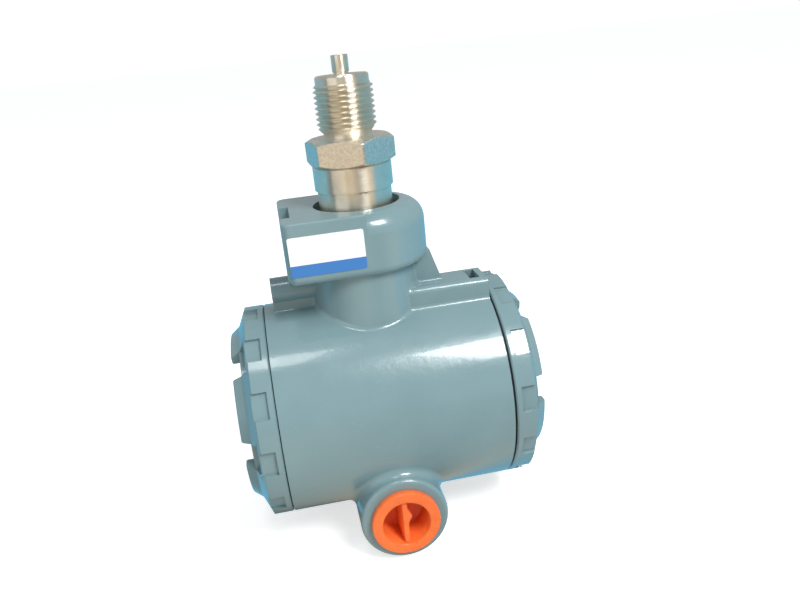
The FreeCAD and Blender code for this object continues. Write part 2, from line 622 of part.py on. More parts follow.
def make_housing():
    drum = cylinder("drum", "drum_dia", "drum_left + drum_right", ("-drum_left", "0", AXIS_Z), "X")
    neck = cone("neck", "neck_base_dia", "neck_top_dia",
                f"{BELL_LOW} - bell_underside - {AXIS_Z} - rib_root + root_overlap",
                ("0", "0", f"{AXIS_Z} + rib_root"))
    bosses = [make_conduit_boss("front", "-Y"), make_conduit_boss("rear", "Y")]
    ground_boss = cylinder("ground_boss", "ground_boss_dia", "conduit_reach",
                           ("ground_out_side", "0", f"{AXIS_Z} - ground_lift"), "Y")
    outside = fused("casting_outside", [drum, neck] + make_bell() + make_ribs() + bosses + [ground_boss])
    outside = blended("casting_neck_blend", outside, [
        ("neck", "drum"), ("ridge", "drum"), ("neck", "ridge")], size_of("neck_fillet"))
    outside = blended("casting_rib_blend", outside, [
        ("neck", "bar"), ("bar", "drum"), ("neck", "web")], size_of("rib_fillet"))
    outside = blended("casting_boss_blend", outside, [("boss", "drum"), ("ground boss", "drum")],
                      size_of("boss_fillet"))

    back = "bulkhead_place"
    front = "(bulkhead_place + bulkhead_thick)"
    compartments = [
        cylinder("left_compartment", "compartment_dia", f"drum_left + {back}",
                 ("-drum_left", "0", AXIS_Z), "X"),
        cylinder("left_mouth", "cover_bore", "cover_bore_len", ("-drum_left", "0", AXIS_Z), "X"),
        cylinder("right_compartment", "compartment_dia", f"drum_right - {front}",
                 (front, "0", AXIS_Z), "X"),
        cylinder("right_mouth", "cover_bore", "cover_bore_len",
                 ("drum_right - cover_bore_len", "0", AXIS_Z), "X"),
    ]
    shell = cut("casting_shell", outside, compartments)

    hood_low = f"({AXIS_Z} + well_floor - hood_floor)"
    inside = [cylinder("hood", "hood_dia", f"{AXIS_Z} + hood_top - {hood_low}", ("0", "0", hood_low))]
    for i, (depth, lift) in enumerate(post_places()):
        inside.append(cylinder(f"board_post_{i}", "post_dia", "post_len + overrun",
                               (f"{front} - overrun", depth, lift), "X"))
    for side in (-1, 1):
        inside.append(cylinder(f"block_post_{side + 1}", "post_dia", f"block_back + {back} + overrun",
                               ("-block_back", f"{side} * block_post_side", f"{AXIS_Z} + block_lift"), "X"))
    inside.append(cylinder("ground_post", "ground_post_dia", "ground_post_len + overrun",
                           (f"{back} - ground_post_len", "ground_side", f"{AXIS_Z} - ground_drop"), "X"))
    filled = fused("casting_with_posts", [shell] + inside)

    drop_z = f"{AXIS_Z} - conduit_drop"
    bores = [
        cylinder("bell_cavity", "bell_cavity_dia", "bell_cavity_depth + overrun", ("0", "0", CAVITY_FLOOR)),
        cylinder("neck_bearing", "stem_dia + 2 * running_gap", "neck_bearing_len + 2 * overrun",
                 ("0", "0", f"{BEARING_END} - overrun")),
        cylinder("well", "well_dia", f"{BEARING_END} - {AXIS_Z} - well_floor",
                 ("0", "0", f"{AXIS_Z} + well_floor")),
        box("window", ("0", "hood_dia / 2 + overrun"), ("-window_width / 2", "window_width / 2"),
            (f"{AXIS_Z} + window_low", f"{AXIS_Z} + window_high")),
        cylinder("front_conduit", "conduit_bore", "conduit_reach - conduit_inner",
                 ("0", "-conduit_reach", drop_z), "Y"),
        cylinder("rear_conduit", "conduit_bore", "conduit_reach - conduit_inner",
                 ("0", "conduit_inner", drop_z), "Y"),
        box("bell_notch", ("-bell_left - overrun", "-bell_left + notch_depth"),
            ("-notch_front", "notch_back"),
            (f"{BELL_TOP} - notch_drop", f"{BELL_TOP} + overrun")),
        box("lock_slot", ("slot_near", "slot_near + slot_width"), ("-slot_end", "-slot_start"),
            (f"{AXIS_Z} + lock_lift", f"{AXIS_Z} + lock_lift + slot_height")),
        cylinder("lock_hole", "lock_dia + 2 * grub_gap", "lock_hole_len",
                 ("slot_near + slot_width / 2", "-lock_side", f"{AXIS_Z} + rib_root")),
        cylinder("grub_hole", "grub_dia + 2 * grub_gap", "bell_left",
                 ("-bell_left", "0", f"{AXIS_Z} + grub_lift"), "X"),
        cylinder("ground_out_hole", "terminal_screw_dia + 2 * grub_gap", "ground_out_hole_len",
                 ("ground_out_side", "conduit_reach - ground_out_hole_len", f"{AXIS_Z} - ground_lift"), "Y"),
        cylinder("ground_in_hole", "terminal_screw_dia + 2 * grub_gap", "ground_in_hole_len",
                 (f"{back} - ground_post_len", "ground_side", f"{AXIS_Z} - ground_drop"), "X"),
    ]
    for i, (depth, lift) in enumerate(post_places()):
        bores.append(cylinder(f"post_hole_{i}", "board_screw_dia + 2 * running_gap", "post_len",
                              (front, depth, lift), "X"))
    for side in (-1, 1):
        bores.append(cylinder(f"block_hole_{side + 1}", "board_screw_dia + 2 * running_gap",
                              "block_hole_len",
                              ("-block_back", f"{side} * block_post_side", f"{AXIS_Z} + block_lift"), "X"))
    keep("housing", cut("casting", filled, bores))


# ---------------------------------------------------------------- screwed covers and their seals
def draw_sector(sketch, inner, outer, half_angle):
    """Ring sector about the sketch's origin, centred on its first axis."""
    inside, outside, half = size_of(inner), size_of(outer), size_of(half_angle) / 2
    low, high = math.radians(-half), math.radians(half)
    centre, normal = FreeCAD.Vector(), FreeCAD.Vector(0, 0, 1)

    def point(radius, turn):
        return FreeCAD.Vector(radius * math.cos(turn), radius * math.sin(turn), 0)
    for radius in (outside, inside):
        sketch.addGeometry(Part.ArcOfCircle(Part.Circle(centre, normal, radius), low, high), False)
    sketch.addGeometry(Part.LineSegment(point(inside, low), point(outside, low)), False)
    sketch.addGeometry(Part.LineSegment(point(inside, high), point(outside, high)), False)
    for arc, end in ((0, 2), (1, 1)):
        sketch.addConstraint(Sketcher.Constraint("Coincident", arc, 1, 2, end))
        sketch.addConstraint(Sketcher.Constraint("Coincident", arc, 2, 3, end))
    for arc, name, radius in ((0, outer, outside), (1, inner, inside)):
        sketch.addConstraint(Sketcher.Constraint("Coincident", arc, 3, -1, 1))
        number = sketch.addConstraint(Sketcher.Constraint("Radius", arc, radius))
        bind(sketch, f"Constraints[{number}]", name)
        for end, sign, turn in ((1, "-", low), (2, "", high)):
            number = sketch.addConstraint(Sketcher.Constraint(
                "DistanceY", -1, 1, arc, end, radius * math.sin(turn)))
            bind(sketch, f"Constraints[{number}]", f"{sign}{name} * sin({half_angle} / 2 * 1deg)")


def make_cover(side, outward):
    """Screwed cover, modelled along its own +X from the seam plane and then turned into place."""
    name = f"{side}_cover"
    body = new_body(name)
    thread = "(cover_bore / 2 - cover_thread_gap)"
    turned(body, f"{name}_turning", [
        ("-spigot_reach", "cover_cavity_dia / 2"),
        ("-spigot_reach", f"{thread} - cover_edge"),
        ("-spigot_reach + cover_edge", thread),
        ("0", thread),
        ("0", "seal_inner_dia / 2"), ("seal_sink", "seal_inner_dia / 2"),
        ("seal_sink", "seal_outer_dia / 2"), ("0", "seal_outer_dia / 2"),
        ("0", "drum_dia / 2 - cover_edge"), ("cover_edge", "drum_dia / 2"),
        ("skirt_len", "drum_dia / 2"),
        ("rim_height", "lug_root"),
        ("rim_height", "face_dia / 2"),
        ("face_height", "face_dia / 2"),
        ("face_height", "0"),
        ("face_height - cover_wall", "0"),
        ("face_height - cover_wall", "cover_cavity_dia / 2 - cavity_bevel"),
        ("face_height - cover_wall - cavity_bevel", "cover_cavity_dia / 2"),
    ], axis="X")
    recess = new_sketch(body, f"{name}_pocket_outline", "YZ_Plane", "rim_len")
    floor = "drum_dia / 2 - pocket_depth"
    draw_outline(recess, [(floor, "-pocket_width / 2"), ("drum_dia / 2 + overrun", "-pocket_width / 2"),
                          ("drum_dia / 2 + overrun", "pocket_width / 2"), (floor, "pocket_width / 2")])
    pocket = padded(body, f"{name}_pocket", recess, "face_height", "Pocket", reverse=True)
    repeated(body, pocket, f"{name}_pockets", "pocket_count")
    sector = new_sketch(body, f"{name}_lug_outline", "YZ_Plane", "rim_height")
    draw_sector(sector, "lug_inner", "lug_root", "lug_angle")
    lug = padded(body, f"{name}_lug", sector, "face_height + lug_height - rim_height")
    lugs = repeated(body, lug, f"{name}_lugs", "lug_count")
    document.recompute()
    face = size_of("face_height")
    top = face + size_of("lug_height")

    def is_lug_corner(edge):
        span = edge.BoundBox
        return (span.XMax > top - 0.1 and span.XLength > size_of("lug_height") - 0.1
                and span.YLength < 0.01 and span.ZLength < 0.01)
    corners = body.newObject("PartDesign::Fillet", f"{name}_lug_corners")
    corners.Base = (lugs, [f"Edge{number}" for number in edges_where(lugs.Shape, is_lug_corner)])
    bind(corners, "Radius", "lug_corner")
    body.Tip = corners
    crown = "(face_height + lug_height)"
    bevel = turned(body, f"{name}_lug_bevel", [
        ("rim_height", "lug_root"), ("face_height", "face_dia / 2"), (crown, "lug_outer"),
        (f"{crown} + overrun", "lug_outer"), (f"{crown} + overrun", "drum_dia / 2 + overrun"),
        ("rim_height", "drum_dia / 2 + overrun"),
    ], axis="X", kind="Groove")
    body.Tip = bevel
    document.recompute()

    def is_lug_rim(edge):
        return edge.BoundBox.XMin > top - 0.01
    rims = body.newObject("PartDesign::Fillet", f"{name}_lug_rims")
    rims.Base = (bevel, [f"Edge{number}" for number in edges_where(bevel.Shape, is_lug_rim)])
    bind(rims, "Radius", "lug_edge")
    body.Tip = rims
    seam = "drum_right + right_seam" if outward > 0 else "-drum_left - left_seam"
    turn = FreeCAD.Rotation(FreeCAD.Vector(1, 0, 0), size_of(f"{side}_cover_turn"))
    if outward < 0:
        turn = FreeCAD.Rotation(FreeCAD.Vector(0, 0, 1), 180) * turn
    body.Placement = FreeCAD.Placement(FreeCAD.Vector(), turn)
    place(body, seam, "0", AXIS_Z)
    keep(name, body)


def make_cover_seal(side, outward):
    name = f"{side}_cover_seal"
    body = new_body(name)
    inner = "(seal_inner_dia / 2 + seat_gap)"
    outer = "(seal_outer_dia / 2 - seat_gap)"
    near, far, bend = f"-{side}_seam", "seal_sink", "cover_edge"
    turned(body, f"{name}_turning", [
        (near, f"{inner} + {bend}"), (f"{near} + {bend}", inner), (f"{far} - {bend}", inner),
        (far, f"{inner} + {bend}"), (far, f"{outer} - {bend}"), (f"{far} - {bend}", outer),
        (f"{near} + {bend}", outer), (near, f"{outer} - {bend}"),
    ], axis="X")
    seam = "drum_right + right_seam" if outward > 0 else "-drum_left - left_seam"
    turn = FreeCAD.Rotation(FreeCAD.Vector(0, 0, 1), 0 if outward > 0 else 180)
    body.Placement = FreeCAD.Placement(FreeCAD.Vector(), turn)
    place(body, seam, "0", AXIS_Z)
    keep(name, body)


# ---------------------------------------------------------------- conduit plugs
def place_in_conduit(body, side):
    turn = FreeCAD.Rotation(FreeCAD.Vector(0, 0, 1), 0 if side == "front" else 180)
    body.Placement = FreeCAD.Placement(FreeCAD.Vector(), turn)
    place(body, "0", "-conduit_reach" if side == "front" else "conduit_reach",
          f"{AXIS_Z} - conduit_drop")


def make_front_plug():
    """Moulded transit plug: a cup with a finger grip across its mouth."""
    body = new_body("front_plug")
    cup_floor = "(plug_cup_depth - plug_flange_thick)"
    turned(body, "front_plug_turning", [
        ("-plug_flange_thick", "plug_cup_dia / 2"),
        ("-plug_flange_thick", "plug_flange_dia / 2 - cover_edge"),
        ("-plug_flange_thick + cover_edge", "plug_flange_dia / 2"),
        ("-seat_gap", "plug_flange_dia / 2"), ("-seat_gap", "plug_body_dia / 2"),
        ("plug_body_len", "plug_body_dia / 2"), ("plug_body_len", "0"),
        (cup_floor, "0"), (cup_floor, "plug_cup_dia / 2"),
    ], axis="Y")
    grip = new_sketch(body, "front_plug_grip_outline", "XZ_Plane", "plug_flange_thick - plug_grip_sink")
    draw_outline(grip, [("-plug_grip / 2", "-plug_cup_dia / 2"), ("plug_grip / 2", "-plug_cup_dia / 2"),
                        ("plug_grip / 2", "plug_cup_dia / 2"), ("-plug_grip / 2", "plug_cup_dia / 2")])
    padded(body, "front_plug_grip", grip, "plug_cup_depth - plug_grip_sink", reverse=True)
    place_in_conduit(body, "front")
    keep("front_plug", body)


def make_rear_plug():
    """Metal blanking plug with a hexagon socket."""
    body = new_body("rear_plug")
    front = "(-blank_seal_thick - blank_flange_thick)"
    turned(body, "rear_plug_turning", [
        (front, "0"), (front, "blank_flange_dia / 2 - cover_edge"),
        (f"{front} + cover_edge", "blank_flange_dia / 2"),
        ("-blank_seal_thick", "blank_flange_dia / 2"), ("-blank_seal_thick", "blank_body_dia / 2"),
        ("plug_body_len - cover_edge", "blank_body_dia / 2"),
        ("plug_body_len", "blank_body_dia / 2 - cover_edge"), ("plug_body_len", "0"),
    ], axis="Y")
    socket = new_sketch(body, "rear_plug_socket_outline", "XZ_Plane",
                        "blank_seal_thick + blank_flange_thick")
    draw_outline(socket, [
        (f"blank_socket / 2 / cos(30deg) * cos({60 * i}deg)",
         f"blank_socket / 2 / cos(30deg) * sin({60 * i}deg)") for i in range(6)])
    padded(body, "rear_plug_socket", socket, "blank_socket_depth", "Pocket")
    place_in_conduit(body, "rear")
    keep("rear_plug", body)
    seal = new_body("rear_plug_seal")
    inner, outer = "(conduit_bore / 2 + screw_gap)", "(blank_flange_dia / 2 - blank_seal_inset)"
    turned(seal, "rear_plug_seal_turning", [
        ("-blank_seal_thick", inner), ("-blank_seal_thick", outer), ("0", outer), ("0", inner),
    ], axis="Y")
    place_in_conduit(seal, "rear")
    keep("rear_plug_seal", seal)


# ---------------------------------------------------------------- screws
def slotted_screw(name, head_dia, head_len, shank_dia, shank_len, seat, axis):
    """Pan-head screw whose head seats at the given point; the shank runs against the axis given."""
    signs = {"X": (1, 0), "-X": (-1, 0), "Y": (1, 1), "Z": (1, 2)}
    sign, along = signs[axis]
    start = list(seat)
    start[along] = f"{seat[along]} - {sign} * ({shank_len})"
    shank = cylinder(f"{name}_shank", shank_dia, f"({shank_len}) + root_overlap", start, axis)
    head = cylinder(f"{name}_head", head_dia, head_len, seat, axis)
    bounds = []
    for i in range(3):
        if i == along:
            near = f"{seat[i]} + {sign} * ({head_len}) / 2"
            far = f"{seat[i]} + {sign} * (({head_len}) + overrun)"
            bounds.append((near, far) if sign > 0 else (far, near))
        elif i == (2 if along != 2 else 1):
            bounds.append((f"{seat[i]} - screw_slot / 2", f"{seat[i]} + screw_slot / 2"))
        else:
            bounds.append((f"{seat[i]} - {head_dia}", f"{seat[i]} + {head_dia}"))
    return cut(name, fused(f"{name}_blank", [shank, head]), [box(f"{name}_slot", *bounds)])


def clamp_washer(name, seat, axis):
    """Square clamping washer lying on a seat, its hole clear of the screw."""
    along = {"-X": 0, "Y": 1}[axis]
    sign = -1 if axis == "-X" else 1
    bounds = []
    for i in range(3):
        if i == along:
            ends = (f"{seat[i]}", f"{seat[i]} + {sign} * clamp_thick")
            bounds.append(ends if sign > 0 else ends[::-1])
        else:
            bounds.append((f"{seat[i]} - clamp_size / 2", f"{seat[i]} + clamp_size / 2"))
    start = list(seat)
    start[along] = f"{seat[along]} - {sign} * overrun"
    hole = cylinder(f"{name}_hole", "terminal_screw_dia + 2 * screw_gap", "clamp_thick + 2 * overrun",
                    start, axis)
    return cut(name, box(f"{name}_plate", *bounds), [hole])


def clamp_and_screw(name, seat, axis, shank):
    """A screw with its captive washer: two nodes that travel together."""
    along = {"-X": 0, "Y": 1}[axis]
    sign = "-" if axis == "-X" else "+"
    keep(f"{name}_clamp", clamp_washer(f"{name}_clamp_washer", seat, axis))
    head = list(seat)
    head[along] = f"{seat[along]} {sign} clamp_thick"
    keep(f"{name}_screw", slotted_screw(f"{name}_clamp_screw", "terminal_head_dia", "terminal_head_len",
                                        "terminal_screw_dia", shank, head, axis))


def grub_screw(name, dia, length, tip, axis):
    """Headless set screw with a hexagon socket in its outer end."""
    along = {"-X": 0, "Z": 2}[axis]
    sign = -1 if axis == "-X" else 1
    blank = cylinder(f"{name}_blank", dia, length, tip, axis)
    start = list(tip)
    start[along] = f"{tip[along]} + {sign} * ({length} - grub_socket)"
    socket = prism(f"{name}_socket", 6, "grub_socket / 2", "grub_socket + overrun", start, axis)
    return cut(name, blank, [socket])


def make_set_screws():
    tip = "-stem_dia / 2 - screw_gap"
    keep("rotation_screw", grub_screw("rotation_grub", "grub_dia", "grub_len",
                                      (tip, "0", f"{AXIS_Z} + grub_lift"), "-X"))
    thread = "(cover_bore / 2 - cover_thread_gap)"
    height = f"sqrt({thread} * {thread} - (lock_side - lock_dia / 2) * (lock_side - lock_dia / 2))"
    keep("cover_lock_screw", grub_screw("lock_grub", "lock_dia", "lock_len", (
        "slot_near + slot_width / 2", "-lock_side", f"{AXIS_Z} + {height} + screw_gap"), "Z"))


# ---------------------------------------------------------------- electronics compartment
def make_electronics():
    board_back = "(bulkhead_place + bulkhead_thick + post_len)"
    board_front = f"({board_back} + main_board_thick)"
    shroud_front = f"({board_front} + shroud_depth)"
    clear = "board_screw_dia + 2 * screw_gap"
    plate = cylinder("main_board_plate", "main_board_dia", "main_board_thick",
                     (board_back, "0", AXIS_Z), "X")
    holes = [cylinder(f"main_board_hole_{i}", clear, "main_board_thick + 2 * overrun",
                      (f"{board_back} - overrun", depth, lift), "X")
             for i, (depth, lift) in enumerate(post_places())]
    drilled = cut("main_board_drilled", plate, holes)
    chips = [box(f"main_chip_{i}", (board_front, f"{board_front} + {tall}"), tuple(f"{end} / 100 * main_board_dia" for end in depth),
                 tuple(f"{AXIS_Z} + ({end} / 100 * main_board_dia)" for end in lift))
             for i, (depth, lift, tall) in enumerate(MAIN_CHIPS)]
    keep("main_board", fused("main_board_parts", [drilled] + chips))

    body = cylinder("shroud_drum", "main_board_dia", "shroud_depth", (board_front, "0", AXIS_Z), "X")
    hollow = cylinder("shroud_hollow", "main_board_dia - 2 * shroud_wall", "shroud_depth - shroud_wall",
                      (board_front, "0", AXIS_Z), "X")
    pillars = [cylinder(f"shroud_pillar_{i}", "post_dia", "shroud_depth", (board_front, depth, lift), "X")
               for i, (depth, lift) in enumerate(post_places())]
    holes = [cylinder(f"shroud_hole_{i}", clear, "shroud_depth + 2 * overrun",
                      (f"{board_front} - overrun", depth, lift), "X")
             for i, (depth, lift) in enumerate(post_places())]
    cup = fused("shroud_cup", [cut("shroud_shell", body, [hollow])] + pillars)
    keep("electronics_shroud", cut("shroud", cup, holes))
    screws = [slotted_screw(f"board_screw_{i}", "board_head_dia", "board_head_len", "board_screw_dia",
                            "shroud_depth + main_board_thick + post_len - board_screw_short",
                            (shroud_front, depth, lift), "X")
              for i, (depth, lift) in enumerate(post_places())]
    keep("board_screws", group("board_screw_set", screws))


def make_sensor_lead():
    """Flat lead from the sensor board down the well, through the window and onto the main board's back."""
    body = new_body("sensor_lead")
    level = f"({AXIS_Z} + (window_low + window_high) / 2)"
    top = f"({BOARD_TOP} - board_thick - chip_height - screw_gap)"
    end = "(bulkhead_place + bulkhead_thick + post_len)"
    half, bend = "lead_thick / 2", "lead_bend"
    fold, landing = f"({end} - lead_fold)", f"({AXIS_Z} + main_board_dia / 2 - lead_landing)"
    sketch = new_sketch(body, "lead_outline", "XZ_Plane")
    draw_outline(sketch, [
        (f"-{half}", top), (half, top), (half, f"{level} + {bend}"), (bend, f"{level} + {half}"),
        (f"{fold} + {half}", f"{level} + {half}"), (f"{fold} + {half}", f"{landing} + {half}"),
        (end, f"{landing} + {half}"), (end, f"{landing} - {half}"),
        (f"{fold} - {half}", f"{landing} - {half}"), (f"{fold} - {half}", f"{level} - {half}"),
        (f"{bend} - {half}", f"{level} - {half}"), (f"-{half}", f"{level} + {bend} - {half}")])
    padded(body, "lead_strip", sketch, "lead_width", both=True)
    keep("sensor_lead", body)


# ---------------------------------------------------------------- terminal compartment
def make_terminals():
    front = "(-block_back - block_depth)"
    lift = f"({AXIS_Z} + block_lift)"
    block = box("block_blank", (front, "-block_back"), ("-block_width / 2", "block_width / 2"),
                (f"{lift} - block_height / 2", f"{lift} + block_height / 2"))
    floor = f"({front} + terminal_well_depth)"
    tools, plates = [], []
    names = {-1: "negative", 0: "test", 1: "positive"}
    for side, name in names.items():
        middle = f"({side} * terminal_pitch)"
        tools.append(box(f"well_{name}", (f"{front} - overrun", floor),
                         (f"{middle} - terminal_well / 2", f"{middle} + terminal_well / 2"),
                         (f"{lift} - block_height", f"{lift} + terminal_well / 2")))
        tools.append(cylinder(f"well_hole_{name}", "terminal_screw_dia + 2 * grub_gap", "terminal_hole_len",
                              (floor, middle, lift), "X"))
        plate = box(f"plate_blank_{name}", (f"{floor} - plate_thick", floor),
                    (f"{middle} - clamp_size / 2", f"{middle} + clamp_size / 2"),
                    (f"{lift} - clamp_size / 2", f"{lift} + clamp_size / 2"))
        plates.append(cut(f"plate_{name}", plate, [
            cylinder(f"plate_hole_{name}", "terminal_screw_dia + 2 * grub_gap",
                     "plate_thick + 2 * overrun", (f"{floor} - plate_thick - overrun", middle, lift), "X")]))
        clamp_and_screw(f"{name}_terminal", (f"{floor} - plate_thick", middle, lift), "-X",
                        "clamp_thick + terminal_grip")
    screws = []
    for side in (-1, 1):
        middle = f"({side} * block_post_side)"
        tools.append(cylinder(f"counterbore_{side + 1}", "board_head_dia + counterbore_gap",
                              "counterbore_depth", (front, middle, lift), "X"))
        tools.append(cylinder(f"block_through_{side + 1}", "board_screw_dia + 2 * screw_gap",
                              "block_depth + 2 * overrun", (f"{front} - overrun", middle, lift), "X"))
        screws.append(slotted_screw(f"block_screw_{side + 1}", "board_head_dia", "board_head_len",
                                    "board_screw_dia", "block_depth - counterbore_depth + block_grip",
                                    (f"{front} + counterbore_depth", middle, lift), "-X"))
    keep("terminal_block", cut("block", block, tools))
    keep("terminal_plates", group("terminal_plate_set", plates))
    keep("block_screws", group("block_screw_set", screws))


def make_ground_terminals():
    clamp_and_screw("inner_ground", ("bulkhead_place - ground_post_len", "ground_side",
                                     f"{AXIS_Z} - ground_drop"), "-X",
                    "clamp_thick + ground_in_grip")
    clamp_and_screw("outer_ground", ("ground_out_side", "conduit_reach", f"{AXIS_Z} - ground_lift"),
                    "Y", "clamp_thick + terminal_grip")


def make_sticker():
    low = f"({AXIS_Z} + sticker_low)"
    blank = box("sticker_blank", ("-sticker_left", "-sticker_left + sticker_width"),
                ("-bell_half_width - sticker_thick", "-bell_half_width"), (low, f"{low} + sticker_height"))

    def is_corner(edge):
        return edge.BoundBox.XLength < 0.01 and edge.BoundBox.ZLength < 0.01
    keep("front_sticker", rounded("sticker_rounded", blank, is_corner, size_of("sticker_corner")))


def check_model():
    document.recompute()
    for item in document.Objects:
        if "Invalid" in item.State or "Error" in item.State:
            raise RuntimeError(f"{item.Name} failed: {item.State}")
    for name, item in pieces.items():
        shape = item.Shape
        if shape.isNull() or not shape.isValid() or not shape.Solids:
            raise RuntimeError(f"{name} has no valid solid")
        print(f"{name}: {len(shape.Solids)} solid(s), {shape.Volume / 1000:.2f} cm3")


def write_pieces():
    os.makedirs("parts", exist_ok=True)
    for name, item in pieces.items():
        item.Shape.exportStep(f"parts/{name}.step")


def main():
    fill_sheet()
    make_process_connection()
    make_sensor_body()
    make_neck_seal()
    make_neck_circlip()
    make_diaphragm()
    make_sensor_cell()
    make_sensor_board()
    make_housing()
    for side, outward in (("left", -1), ("right", 1)):
        make_cover(side, outward)
        make_cover_seal(side, outward)
    make_front_plug()
    make_rear_plug()
    make_set_screws()
    make_electronics()
    make_sensor_lead()
    make_terminals()
    make_ground_terminals()
    make_sticker()
    check_model()
    write_pieces()


main()
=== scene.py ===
"""Looks of the field pressure transmitter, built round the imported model."""
import json
import math

import bpy
from mathutils import Matrix, Vector


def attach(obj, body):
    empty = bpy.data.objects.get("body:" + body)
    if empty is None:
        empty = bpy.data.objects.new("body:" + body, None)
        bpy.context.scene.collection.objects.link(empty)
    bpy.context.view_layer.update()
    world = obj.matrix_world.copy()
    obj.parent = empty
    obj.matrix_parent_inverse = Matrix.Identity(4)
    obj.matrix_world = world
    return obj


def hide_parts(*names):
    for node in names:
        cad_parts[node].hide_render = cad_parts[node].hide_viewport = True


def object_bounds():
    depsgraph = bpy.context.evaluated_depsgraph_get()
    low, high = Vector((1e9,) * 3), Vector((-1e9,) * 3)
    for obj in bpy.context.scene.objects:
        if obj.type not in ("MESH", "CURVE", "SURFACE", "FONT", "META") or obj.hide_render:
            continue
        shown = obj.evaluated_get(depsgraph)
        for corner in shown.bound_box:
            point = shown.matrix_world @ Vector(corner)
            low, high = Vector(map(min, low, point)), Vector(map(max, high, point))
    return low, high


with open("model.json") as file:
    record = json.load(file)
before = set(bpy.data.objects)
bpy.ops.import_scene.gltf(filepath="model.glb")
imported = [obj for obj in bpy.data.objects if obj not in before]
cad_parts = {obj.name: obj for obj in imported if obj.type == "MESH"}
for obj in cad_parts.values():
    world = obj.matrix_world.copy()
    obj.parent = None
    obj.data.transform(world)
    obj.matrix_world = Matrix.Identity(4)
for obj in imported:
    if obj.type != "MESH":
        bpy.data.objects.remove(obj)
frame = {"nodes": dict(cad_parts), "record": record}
cad_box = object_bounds()
nodes = frame["nodes"]
MM = 0.001

# Levels on the process axis, in millimetres
HEX_TOP, HEX_BOTTOM = -10.35, -19.45
AXIS_Z = -109.35
CONDUIT_Z = AXIS_Z - 32.7
CONDUIT_Y = 41.1

# The front sticker's lower and upper edges, and how much of it the blue band covers
STICKER_LOW, STICKER_HIGH = -52.25, -38.35
BAND_SHARE = 0.3


# ---------------------------------------------------------------- node helpers
class Look:
    """A material and short names for the nodes in it."""

    def __init__(self, name):
        self.material = bpy.data.materials.new(name)
        self.material.use_nodes = True
        self.tree = self.material.node_tree
        self.shader = self.tree.nodes["Principled BSDF"]
        self.place = self.add("ShaderNodeTexCoord").outputs["Object"]

    def add(self, kind, **settings):
        node = self.tree.nodes.new(kind)
        for name, value in settings.items():
            if hasattr(node, name):
                setattr(node, name, value)
            else:
                node.inputs[name.replace("_", " ")].default_value = value
        return node

    def join(self, output, target):
        self.tree.links.new(output, target)

    def put(self, **values):
        for name, value in values.items():
            self.shader.inputs[name.replace("_", " ")].default_value = value

    def noise(self, scale, detail=4.0, rough=0.55, stretch=(1, 1, 1)):
        """Noise whose grain is given in cells per millimetre."""
        spread = self.add("ShaderNodeMapping")
        spread.inputs["Scale"].default_value = [s * scale / MM for s in stretch]
        self.join(self.place, spread.inputs["Vector"])
        node = self.add("ShaderNodeTexNoise")
        node.inputs["Scale"].default_value = 1.0
        node.inputs["Detail"].default_value = detail
        node.inputs["Roughness"].default_value = rough
        self.join(spread.outputs["Vector"], node.inputs["Vector"])
        return node.outputs["Fac"]

    def ramp(self, source, stops):
        node = self.add("ShaderNodeValToRGB")
        while len(node.color_ramp.elements) < len(stops):
            node.color_ramp.elements.new(0.5)
        for element, (where, colour) in zip(node.color_ramp.elements, stops):
            element.position = where
            element.color = (*colour, 1) if isinstance(colour, tuple) else (colour, colour, colour, 1)
        self.join(source, node.inputs["Fac"])
        return node.outputs["Color"]

    def mix(self, share, first, second, blend="MIX"):
        node = self.add("ShaderNodeMix", data_type="RGBA", blend_type=blend)
        for socket, value in ((node.inputs["Factor"], share), (node.inputs[6], first),
                              (node.inputs[7], second)):
            if isinstance(value, bpy.types.NodeSocket):
                self.join(value, socket)
            elif isinstance(value, tuple):
                socket.default_value = (*value, 1)
            else:
                socket.default_value = value
        return node.outputs[2]

    def bump(self, heights, edge=None):
        """Chain bumps given as (height output, depth in millimetres); edge is a rounding radius."""
        normal = None
        if edge:
            bevel = self.add("ShaderNodeBevel", samples=4)
            bevel.inputs["Radius"].default_value = edge * MM
            normal = bevel.outputs["Normal"]
        for height, depth in heights:
            node = self.add("ShaderNodeBump")
            node.inputs["Strength"].default_value = 1.0
            node.inputs["Distance"].default_value = depth * MM
            self.join(height, node.inputs["Height"])
            if normal is not None:
                self.join(normal, node.inputs["Normal"])
            normal = node.outputs["Normal"]
        self.join(normal, self.shader.inputs["Normal"])


def enamel():
    """Blue-grey polyester enamel over a die casting: glossy, with orange peel and a few specks."""
    look = Look("blue_grey_enamel")
    cloud = look.noise(0.035, 3)
    tone = look.ramp(cloud, [(0.3, (0.172, 0.270, 0.292)), (0.7, (0.194, 0.298, 0.318))])
    specks = look.ramp(look.noise(1.6, 2), [(0.0, 0.0), (0.735, 0.0), (0.76, 1.0)])
    look.join(look.mix(specks, tone, (0.30, 0.42, 0.45)), look.shader.inputs["Base Color"])
    gloss = look.ramp(look.noise(0.12, 5), [(0.3, 0.17), (0.75, 0.27)])
    look.join(gloss, look.shader.inputs["Roughness"])
    look.put(IOR=1.52, Coat_Weight=0.35, Coat_Roughness=0.06)
    look.bump([(look.noise(0.42, 2), 0.05), (look.noise(1.8, 3), 0.012)], edge=0.45)
    return look.material


